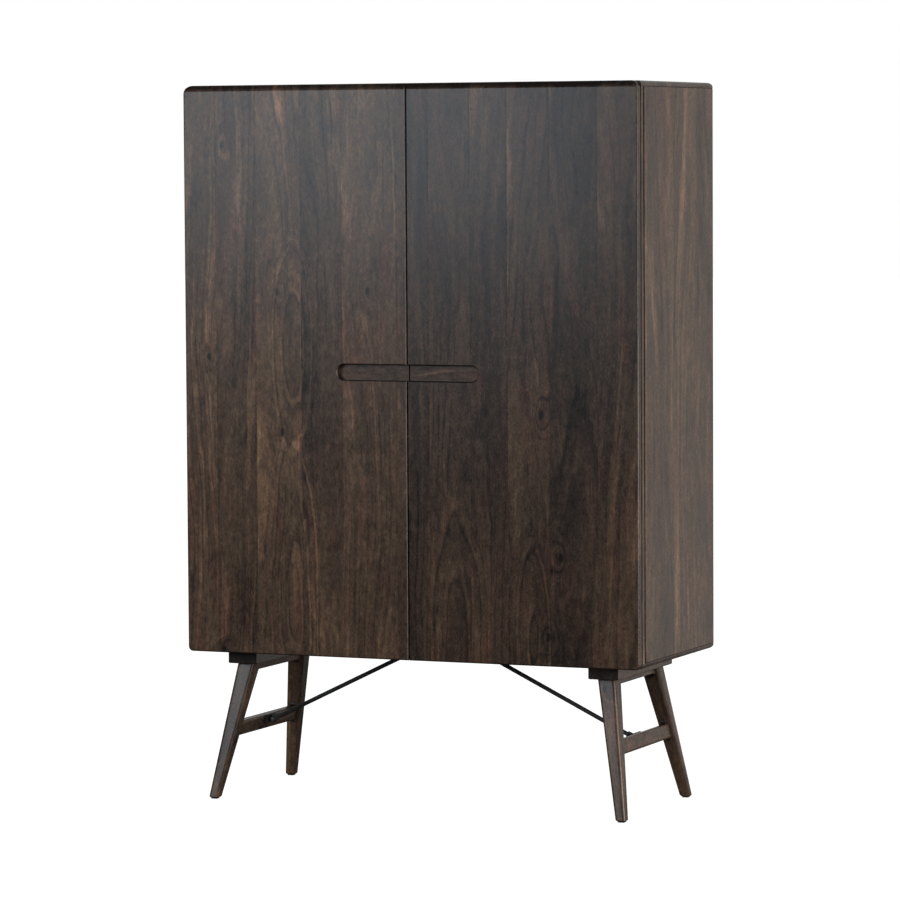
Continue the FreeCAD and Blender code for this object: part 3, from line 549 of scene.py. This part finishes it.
def leg_line(name):
    """Unit vector from the middle of a leg's foot to the middle of its head."""
    low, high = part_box(name)
    points = [v.co for v in parts[name].data.vertices]
    slice_height = (high.z - low.z) * END_SLICE
    foot = [p for p in points if p.z < low.z + slice_height]
    head = [p for p in points if p.z > high.z - slice_height]
    return (sum(head, Vector()) / len(head) - sum(foot, Vector()) / len(foot)).normalized()


for side in ("left", "right"):
    for end in ("front", "back"):
        name = f"{side}_{end}_leg"
        up_the_leg = leg_line(name)
        across = (X_AXIS - up_the_leg * X_AXIS.dot(up_the_leg)).normalized()
        finish_node(name, wood_finish(name, across, up_the_leg, LEG_TONE, LEG_END_DARKENING))
        print(name, "leans", round(math.degrees(up_the_leg.angle(Z_AXIS)), 1), "degrees")

# %% [markdown]
# ## Metal and plastic
#
# Five quick finishes cover the hardware. Nickel-plated hinges and aged brass are metals with a
# fine brushed grain. The brace rods carry a matt black powder coat, which has a faint orange
# peel. The glides and the catch bodies are plain moulded plastic, and magnets are dull grey.
# Brushing and orange peel are each a little noise in the roughness and the height, so one
# shared group makes both.

# %% Brush and smudge
def build_brushing():
    """Fine scratches or grain, and broad soft smudges."""
    group, given, result = new_group(
        "brushing", {"Place": "Vector", "Across": "Float", "Along": "Float"},
        {"Fine": "Float", "Smudge": "Float"})
    scale = put(group, "CombineXYZ", {"X": given["Across"], "Y": given["Across"],
                                      "Z": given["Along"]}).outputs[0]
    fine_place = put(group, "VectorMath", {0: given["Place"], 1: scale},
                     operation="MULTIPLY").outputs[0]
    group.links.new(cloud(group, fine_place, 3.0, 2.0, 0.6), result["Fine"])
    broad = cloud(group, stretch(group, given["Place"], 55.0, 55.0), 5.0, 3.0)
    group.links.new(fade(group, broad, 0.35, 0.7), result["Smudge"])
    return group


brushing = build_brushing()
print("brushing:", len(brushing.nodes), "nodes")

# %% [markdown]
# Each finish has a clean and a worn colour, and the smudges lead from one to the other. Bare
# metal is set to fully metallic. Powder coat and plastic are not metal on the outside, so
# theirs is 0, whatever is under them.

# %% Mix the metals and plastics
FINE_ROUGHNESS, SMUDGE_ROUGHNESS = 0.22, 0.08
FINISHES = {
    # name: clean colour, worn colour, metallic, roughness, grain across, along, and its depth
    "nickel plate": ((0.55, 0.54, 0.51), (0.44, 0.42, 0.39), 1.0, 0.30, 2600, 300, 0.00004),
    "aged brass": ((0.34, 0.24, 0.11), (0.16, 0.11, 0.055), 1.0, 0.36, 2400, 300, 0.00004),
    "black powder coat": ((0.012, 0.012, 0.013), (0.02, 0.02, 0.021), 0.0, 0.46, 700, 700,
                          0.00012),
    "black plastic": ((0.015, 0.015, 0.015), (0.024, 0.023, 0.022), 0.0, 0.5, 900, 900, 0.00008),
    "magnet": ((0.25, 0.25, 0.26), (0.18, 0.18, 0.18), 1.0, 0.38, 1400, 1400, 0.00004),
}


def hardware_finish(name, colour, worn, metallic, rough, across, along, depth):
    """A metal or plastic material with a fine surface and faint smudges."""
    finish = bpy.data.materials.new(name)
    finish.use_nodes = True
    tree = finish.node_tree
    surface = tree.nodes["Principled BSDF"]
    feeds = {"Place": put(tree, "TexCoord").outputs["Object"], "Across": across, "Along": along}
    grain = put(tree, "Group", feeds, node_tree=brushing).outputs
    feeds = {"Factor": grain["Smudge"], "A": (*colour, 1.0), "B": (*worn, 1.0)}
    mix = put(tree, "Mix", feeds, data_type="RGBA")
    tree.links.new(mix.outputs["Result"], surface.inputs["Base Color"])
    surface.inputs["Metallic"].default_value = metallic
    smoothest = rough - FINE_ROUGHNESS / 2
    roughness = calc(tree, "MULTIPLY_ADD", grain["Fine"], FINE_ROUGHNESS, smoothest)
    roughness = calc(tree, "MULTIPLY_ADD", grain["Smudge"], SMUDGE_ROUGHNESS, roughness)
    tree.links.new(roughness, surface.inputs["Roughness"])
    bump = put(tree, "Bump", {"Strength": 0.3, "Distance": depth, "Height": grain["Fine"]})
    tree.links.new(bump.outputs[0], surface.inputs["Normal"])
    return finish


nickel, brass, black_coat, black_plastic, magnet_grey = [
    hardware_finish(name, *look) for name, look in FINISHES.items()]
print("hardware finishes:", ", ".join(FINISHES))

# %% [markdown]
# Cup hinges and strike plates come plated in nickel. The two knuckled hinges are brass, which
# suits the wood inside. Rods and brackets are black, so that they hardly show under the case.

# %% Finish the hardware
hardware = {
    nickel: ("left_hinge_cups", "right_hinge_cups", "left_hinge_arms", "right_hinge_arms",
             "left_strike_plate", "right_strike_plate", "shelf_strike", "rod_bolts"),
    brass: ("shelf_hinge_plate", "shelf_hinge_pin", "shelf_hinge_flap", "bracket_hinge_plate",
            "bracket_hinge_pin", "bracket_hinge_flap"),
    black_coat: ("left_brace_rod", "right_brace_rod", "rod_brackets"),
    black_plastic: ("catch_housings", "foot_glides"),
    magnet_grey: ("catch_magnets",),
}
for material, names in hardware.items():
    for name in names:
        finish_node(name, material)
finished = set(boards).union(*hardware.values())
print("hardware finished:", len(finished) - len(boards))
print("parts without a finish:", sorted(n for n in set(parts) - finished if not n.endswith("_leg")))

# %% [markdown]
# ## A screw head
#
# Every hinge, bracket and batten is screwed on, and the heads are what shows. A real head is
# forged, then a punch sinks the cross into it. The model follows that: a small grid is drawn
# into a disc, five of its faces form a cross and are pushed down, the middle is domed, and the
# rim is pulled down to the seat. A ready-made cylinder would have neither dome nor cross. One
# head serves for all screws, because they differ in size and metal only.

# %% Forge one screw head
HEAD_DOME = 0.35            # all five are shares of the head's radius or height
CROSS_DEPTH = 0.8
CROSS_TAPER = 0.8
SKIRT_DEPTH = 0.1
SKIRT_SPREAD = 1.06


def new_verts(extruded):
    """The corners that an extrusion has made."""
    return [item for item in extruded["geom"] if isinstance(item, bmesh.types.BMVert)]


def is_cross(face):
    """True for the middle face of the grid and the four next to it. A face is 0.4 wide."""
    middle = face.calc_center_median()
    return min(abs(middle.x), abs(middle.y)) < 0.1 and max(abs(middle.x), abs(middle.y)) < 0.5


def make_mesh(name, shape):
    """Turns a shape into a mesh."""
    mesh = bpy.data.meshes.new(name)
    shape.to_mesh(mesh)
    shape.free()
    return mesh


def forge_head():
    """Head of radius 1 and height 1 that faces +Z and sits at the origin."""
    head = bmesh.new()
    bmesh.ops.create_grid(head, x_segments=5, y_segments=5, size=1.0)
    rim = [v for v in head.verts if max(abs(v.co.x), abs(v.co.y)) > 0.9]
    for vert in rim:
        vert.co = vert.co.normalized()
    for vert in head.verts:
        vert.co.z = 1.0 - HEAD_DOME * vert.co.xy.length_squared
    cross = bmesh.ops.extrude_face_region(head, geom=[f for f in head.faces if is_cross(f)])
    cross_floor = new_verts(cross)
    bmesh.ops.translate(head, vec=(0, 0, -CROSS_DEPTH), verts=cross_floor)
    bmesh.ops.scale(head, vec=(CROSS_TAPER, CROSS_TAPER, 1.0), verts=cross_floor)
    open_edges = [e for e in head.edges if e.is_boundary]
    skirt = new_verts(bmesh.ops.extrude_edge_only(head, edges=open_edges))
    for vert in skirt:
        vert.co.z = -SKIRT_DEPTH
    bmesh.ops.scale(head, vec=(SKIRT_SPREAD, SKIRT_SPREAD, 1.0), verts=skirt)
    bmesh.ops.recalc_face_normals(head, faces=head.faces)
    return make_mesh("screw head", head)


screw_head = forge_head()
print("one screw head:", len(screw_head.polygons), "faces")

# %% [markdown]
# ## Where the screws go
#
# Screws of one kind are one group on one moving body. Each place is a point on a surface and
# the way the head faces. The heads stand about a millimetre proud, so a hinge can still fold
# shut on them, and each is turned to a chance angle, as a driver leaves it.

# %% Set a group of screws
MM = 0.001
INWARD, OUTWARD, DOWN = (0, 1, 0), (0, -1, 0), (0, 0, -1)
screw_luck = random.Random(5)


def add_piece(name, shape, material, body):
    """Adds a piece that rides on a body of the cabinet."""
    mesh = make_mesh(name, shape)
    mesh.materials.append(material)
    piece = bpy.data.objects.new(name, mesh)
    scene.collection.objects.link(piece)
    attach(piece, body)
    print(name, "on", body)
    return piece


def set_screws(name, places, radius, height, metal, body, head=screw_head):
    """places is a list of ((x, y, z) in millimetres, direction the head faces)."""
    group = bmesh.new()
    for place, facing in places:
        first = len(group.verts)
        group.from_mesh(head)
        group.verts.ensure_lookup_table()
        turn = Vector(facing).to_track_quat("Z", "Y").to_matrix().to_4x4()
        spin = Matrix.Rotation(screw_luck.uniform(0, math.pi), 4, "Z")
        size = Matrix.Diagonal((radius * MM, radius * MM, height * MM, 1.0))
        seat = Matrix.Translation(Vector(place) * MM)
        bmesh.ops.transform(group, matrix=seat @ turn @ spin @ size, verts=group.verts[first:])
    bmesh.ops.recalc_face_normals(group, faces=group.faces)
    return add_piece(name, group, metal, body)


# %% [markdown]
# The door hinges need most of the screws: two hold the ears of each cup to the door, and two
# hold each arm's plate to the inner side of the stile. They are short pan heads of plated
# steel, as supplied with such hinges.

# %% Screw on the door hinges
CUP_X, CUP_EAR_Y, EAR_SCREW = 538.5, -222.2, 21.8
ARM_PLATE_X, ARM_PLATE_Y, ARM_SCREW = 512.4, -211.0, 13.0
HINGE_HEIGHTS = (455.0, 997.5, 1540.0)

for side, sign in (("left", -1), ("right", 1)):
    cup_places = [((sign * CUP_X, CUP_EAR_Y, z + step), INWARD)
                  for z in HINGE_HEIGHTS for step in (-EAR_SCREW, EAR_SCREW)]
    set_screws(side + "_cup_screws", cup_places, radius=3.1, height=0.7, metal=nickel,
               body=side + "_door")
    arm_places = [((sign * ARM_PLATE_X, ARM_PLATE_Y, z + step), (-sign, 0, 0))
                  for z in HINGE_HEIGHTS for step in (-ARM_SCREW, ARM_SCREW)]
    set_screws(side + "_arm_screws", arm_places, radius=3.6, height=0.9, metal=nickel,
               body="case")

# %% [markdown]
# The fold-out shelf hangs on a long knuckled hinge. Each of its flaps has a row of brass screws
# along its middle. The cleat behind the hinge is screwed to the door along its upper edge,
# above the hinge.

# %% Screw on the shelf and its cleat
SHELF_X, SHELF_PIVOT_Z = 290.0, 1065.5
DOOR_FLAP_Y, LEAF_FLAP_Y, CLEAT_Y = -207.5, -203.5, -209.0
FLAP_SCREW_Z = SHELF_PIVOT_Z + 13
CLEAT_SCREW_Z = SHELF_PIVOT_Z + 28.5
LEAF_SCREWS_ASIDE = 12      # so that the heads of the two rows pass beside each other

shelf_row = [SHELF_X + step for step in (-160, -80, 0, 80, 160)]
plate_places = [((x, DOOR_FLAP_Y, FLAP_SCREW_Z), INWARD) for x in shelf_row]
set_screws("shelf_plate_screws", plate_places, radius=3.2, height=0.8, metal=brass,
           body="right_door")
leaf_places = [((x + LEAF_SCREWS_ASIDE, LEAF_FLAP_Y, FLAP_SCREW_Z), OUTWARD) for x in shelf_row]
set_screws("shelf_flap_screws", leaf_places, radius=3.2, height=0.8, metal=brass,
           body="fold_out_shelf")
cleat_places = [((SHELF_X + step, CLEAT_Y, CLEAT_SCREW_Z), INWARD)
                for step in (-150, -50, 50, 150)]
set_screws("shelf_cleat_screws", cleat_places, radius=3.8, height=0.9, metal=brass,
           body="right_door")

# %% [markdown]
# The bracket turns on an upright hinge of its own. The screws of its two flaps sit at
# different heights, so that their heads pass each other when it folds against the door.

# %% Screw on the bracket
BRACKET_FLAP_X, BRACKET_HINGE_Z = 275.5, 944.0
PLATE_FACE_Y, FLAP_FACE_Y = -221.5, -217.5

plate_places = [((BRACKET_FLAP_X, PLATE_FACE_Y, BRACKET_HINGE_Z + step), INWARD)
                for step in (-40, 0, 40)]
set_screws("bracket_plate_screws", plate_places, radius=3.0, height=0.8, metal=brass,
           body="right_door")
flap_places = [((BRACKET_FLAP_X, FLAP_FACE_Y, BRACKET_HINGE_Z + step), OUTWARD)
               for step in (-46, -6, 34)]
set_screws("bracket_flap_screws", flap_places, radius=3.0, height=0.8, metal=brass,
           body="shelf_bracket")

# %% [markdown]
# Inside the case, screws hold the battens under the lower shelf, the glass rails and the two
# magnet catches. All of them face down or inward, where a hand with a driver can reach them.

# %% Screw on the fittings inside the case
BATTEN_FACES = ((23.0, 1), (527.0, -1))     # the x of each face, and the way it looks
BATTEN_SCREW_Z, BATTEN_SCREWS_Y = 570.0, (-150, 17, 185)
RAIL_COUNT, RAIL_FIRST_X, RAIL_PITCH = 5, -500.0, 96.0
RAIL_UNDERSIDE, RAIL_SCREWS_Y = 1315.0, (-150, -10, 130)
CATCH_X, CATCH_Y, CATCH_SCREW = 60, -200.0, 8

batten_places = [((x, y, BATTEN_SCREW_Z), (way, 0, 0))
                 for x, way in BATTEN_FACES for y in BATTEN_SCREWS_Y]
set_screws("batten_screws", batten_places, radius=4.0, height=0.9, metal=nickel,
           body="case")
rail_places = [((RAIL_FIRST_X + i * RAIL_PITCH, y, RAIL_UNDERSIDE), DOWN)
               for i in range(RAIL_COUNT) for y in RAIL_SCREWS_Y]
set_screws("glass_rail_screws", rail_places, radius=4.0, height=0.9, metal=nickel,
           body="case")
catch_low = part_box("catch_housings")[0].z / MM
catch_places = [((sign * CATCH_X + step, CATCH_Y, catch_low), DOWN)
                for sign in (-1, 1) for step in (-CATCH_SCREW, CATCH_SCREW)]
set_screws("catch_screws", catch_places, radius=2.6, height=0.8, metal=nickel,
           body="case")

# %% [markdown]
# Under the case, four stout screws hold each mounting board, and black ones hold the brackets
# of the brace rods. The lower brackets lean with their stretcher, so their screws are first
# placed upright on the bracket and then leaned over with it.

# %% Screw on the leg frames and the rod brackets
BOARD_X, FRAME_Y, BOARD_UNDERSIDE = 449.0, -8.0, 313.0
MOUNT_SCREW_X, MOUNT_SCREW_Y = 25, 78
STRETCHER_Z, LEAN = 159.0, math.atan(57.0 / 310.0)
BRACKET_FACE, BRACKET_RISE, BRACKET_SCREW = 13.0, 8.0, 17.0
UPPER_BRACKET_X, UPPER_BRACKET_FACE = 102.0, 342.0

mount_places = [((sign * BOARD_X + x, FRAME_Y + y, BOARD_UNDERSIDE), DOWN) for sign in (-1, 1)
                for x in (-MOUNT_SCREW_X, MOUNT_SCREW_X) for y in (-MOUNT_SCREW_Y, MOUNT_SCREW_Y)]
set_screws("mounting_screws", mount_places, radius=5.0, height=1.1, metal=black_coat,
           body="case")
stretcher_x = BOARD_X + (BOARD_UNDERSIDE - STRETCHER_Z) * math.tan(LEAN)
lower_x = stretcher_x + (-BRACKET_FACE * math.cos(LEAN) - BRACKET_RISE * math.sin(LEAN))
lower_z = STRETCHER_Z + (-BRACKET_FACE * math.sin(LEAN) + BRACKET_RISE * math.cos(LEAN))
bracket_places = []
for sign in (-1, 1):
    for y in (FRAME_Y - BRACKET_SCREW, FRAME_Y + BRACKET_SCREW):
        bracket_places.append(((sign * UPPER_BRACKET_X, y, UPPER_BRACKET_FACE), DOWN))
        bracket_places.append(((sign * lower_x, y, lower_z),
                               (-sign * math.cos(LEAN), 0, -math.sin(LEAN))))
set_screws("rod_bracket_screws", bracket_places, radius=3.6, height=0.9, metal=black_coat,
           body="case")

# %% [markdown]
# Two soft buttons on the bottom rail take the doors' last bit of swing. Each is a disc with a
# well rounded front, moulded in soft black plastic. The disc is drawn out of a circle and its
# front edge bevelled, and the function that sets screws also sets the buttons.

# %% Press on the door buttons
BUTTON_X, BUTTON_SEAT_Y, BUTTON_Z = 72, -220.0, 372.0
BUTTON_ROUNDING = 0.35


def mould_button():
    """Disc of radius 1 and height 1 on the origin, its front edge rounded."""
    button = bmesh.new()
    disc = bmesh.ops.create_circle(button, cap_ends=True, segments=32, radius=1.0)
    base = disc["verts"][0].link_faces[:]
    top = new_verts(bmesh.ops.extrude_face_region(button, geom=base))
    bmesh.ops.translate(button, vec=(0, 0, 1.0), verts=top)
    edge = [e for e in button.edges if all(v in top for v in e.verts)]
    bmesh.ops.bevel(button, geom=edge, offset=BUTTON_ROUNDING, segments=4, profile=0.5,
                    affect="EDGES", material=-1)
    bmesh.ops.recalc_face_normals(button, faces=button.faces)
    return make_mesh("door button", button)


button_places = [((sign * BUTTON_X, BUTTON_SEAT_Y, BUTTON_Z), OUTWARD) for sign in (-1, 1)]
set_screws("door_buttons", button_places, radius=5.0, height=2.6, metal=black_plastic,
           body="case", head=mould_button())

# %% [markdown]
# ## The studio
#
# The floor is a pale sheet. To the camera it adds a glow of its own, so that it runs into the
# white background without a line, while the cabinet's soft shadow still shows. Lacquer mirrors
# the room, and the floor too, so reflections see a floor of their own: dark in front and
# brighter behind the cabinet and on its right, where a window's light falls on it.

# %% Lay the floor
FLOOR_HALF = 40.0
FLOOR_GREY = 0.34
FLOOR_GREY_MIRRORED = 0.06
FLOOR_GLOW = 0.86
FLOOR_PALE, FLOOR_WINDOW = 0.40, 2.2    # how brightly reflections see it, behind and beside


def grey(value):
    """A neutral colour."""
    return (value, value, value, 1.0)


def floor_paper():
    """Grey paper that glows to the camera, and has a light of its own in reflections."""
    paper = bpy.data.materials.new("pale floor")
    paper.use_nodes = True
    tree = paper.node_tree
    surface = tree.nodes["Principled BSDF"]
    surface.inputs["Roughness"].default_value = 0.9
    surface.inputs["Specular IOR Level"].default_value = 0.0
    surface.inputs["Emission Color"].default_value = grey(1.0)
    path = put(tree, "LightPath").outputs
    where = put(tree, "SeparateXYZ", {0: put(tree, "TexCoord").outputs["Object"]}).outputs
    feeds = {"Factor": path["Is Glossy Ray"], "A": grey(FLOOR_GREY),
             "B": grey(FLOOR_GREY_MIRRORED)}
    shade = put(tree, "Mix", feeds, data_type="RGBA")
    tree.links.new(shade.outputs["Result"], surface.inputs["Base Color"])
    beside = calc(tree, "MULTIPLY", fade(tree, where["X"], 0.9, 1.8, 0.0, FLOOR_WINDOW),
                  fade(tree, where["Y"], 0.0, -0.6))
    behind = fade(tree, where["Y"], 0.3, 2.5, 0.0, FLOOR_PALE)
    mirrored = calc(tree, "MULTIPLY", path["Is Glossy Ray"],
                    calc(tree, "MAXIMUM", behind, beside))
    glow = calc(tree, "MULTIPLY_ADD", path["Is Camera Ray"], FLOOR_GLOW, mirrored)
    tree.links.new(glow, surface.inputs["Emission Strength"])
    return paper


def make_floor():
    """A large sheet on the ground, not attached to any body of the cabinet."""
    sheet = bmesh.new()
    bmesh.ops.create_grid(sheet, x_segments=1, y_segments=1, size=FLOOR_HALF)
    mesh = make_mesh("floor", sheet)
    mesh.materials.append(floor_paper())
    floor = bpy.data.objects.new("floor", mesh)
    scene.collection.objects.link(floor)
    return floor


make_floor()
print("floor is", 2 * FLOOR_HALF, "m wide")

# %% [markdown]
# The world is white to the camera, and an even grey light for the wood. Reflections again see
# a plain room of their own: dim on the side of the camera, which keeps the dark doors dark,
# pale behind the cabinet, and bright to the right, where the window's light runs down the
# rounded edges of doors and legs.

# %% Paint the world
AMBIENT = 0.72
ROOM_DIM, ROOM_PALE, ROOM_WINDOW = 0.04, 0.50, 3.0


def paint_world():
    """White to the camera. In reflections dim in front, paler behind and bright to the right."""
    world = bpy.data.worlds.new("studio")
    scene.world = world
    world.use_nodes = True
    tree = world.node_tree
    sky = tree.nodes["Background"]
    path = put(tree, "LightPath").outputs
    way = put(tree, "SeparateXYZ", {0: put(tree, "TexCoord").outputs["Generated"]}).outputs
    room = fade(tree, way["Y"], 0.15, 0.65, ROOM_DIM, ROOM_PALE)
    window = calc(tree, "MULTIPLY", fade(tree, way["X"], 0.60, 0.80, 0.0, ROOM_WINDOW),
                  fade(tree, way["Y"], 0.35, 0.10))
    mirrored = calc(tree, "MAXIMUM", room, window)
    feeds = {"Factor": path["Is Glossy Ray"], "A": AMBIENT, "B": mirrored}
    strength = put(tree, "Mix", feeds).outputs[0]
    feeds = {"Factor": path["Is Camera Ray"], "A": strength, "B": 1.0}
    strength = put(tree, "Mix", feeds).outputs[0]
    sky.inputs["Color"].default_value = grey(1.0)
    tree.links.new(strength, sky.inputs["Strength"])


paint_world()
print("world:", scene.world.name)

# %% [markdown]
# ## Soft lamps
#
# Two soft boxes light the cabinet. The big one stands in front, high and to the left, where
# the lacquer of the upper doors mirrors it as a broad cool sheen. Its light on the wood and
# its image in the lacquer are two lamps in nearly one place, so that each gets its own
# strength and colour. The smaller box lights the right-hand side.

# %% Hang the lamps
FRONT_PLACE = (-2.9, -5.0, 2.55)
FRONT_AIM = (-0.2, 0.0, 1.3)
SHEEN_PLACE = (-2.45, -5.0, 2.40)
SIDE_PLACE = (4.3, -1.05, 0.75)
SIDE_AIM = (0.5, 0.0, 0.6)
WARM, COOL, NEUTRAL = (1.0, 0.98, 0.96), (0.72, 0.87, 1.0), (1.0, 1.0, 1.0)


def soft_lamp(name, place, aim, size, power, colour):
    """A lamp of the given width and height in metres that faces its aim. Power is in watts."""
    data = bpy.data.lights.new(name, "AREA")
    data.shape = "RECTANGLE"
    data.size, data.size_y = size
    data.energy = power
    data.color = colour
    lamp = bpy.data.objects.new(name, data)
    look = Vector(aim) - Vector(place)
    lamp.matrix_world = (Matrix.Translation(place)
                         @ look.to_track_quat("-Z", "Y").to_matrix().to_4x4())
    scene.collection.objects.link(lamp)
    return lamp


front_light = soft_lamp("front softbox", FRONT_PLACE, FRONT_AIM, (3.0, 2.0), 106, WARM)
front_light.visible_glossy = False
front_sheen = soft_lamp("front sheen", SHEEN_PLACE, FRONT_AIM, (2.4, 2.6), 94, COOL)
front_sheen.visible_diffuse = False
soft_lamp("right softbox", SIDE_PLACE, SIDE_AIM, (1.0, 1.5), 72, NEUTRAL)
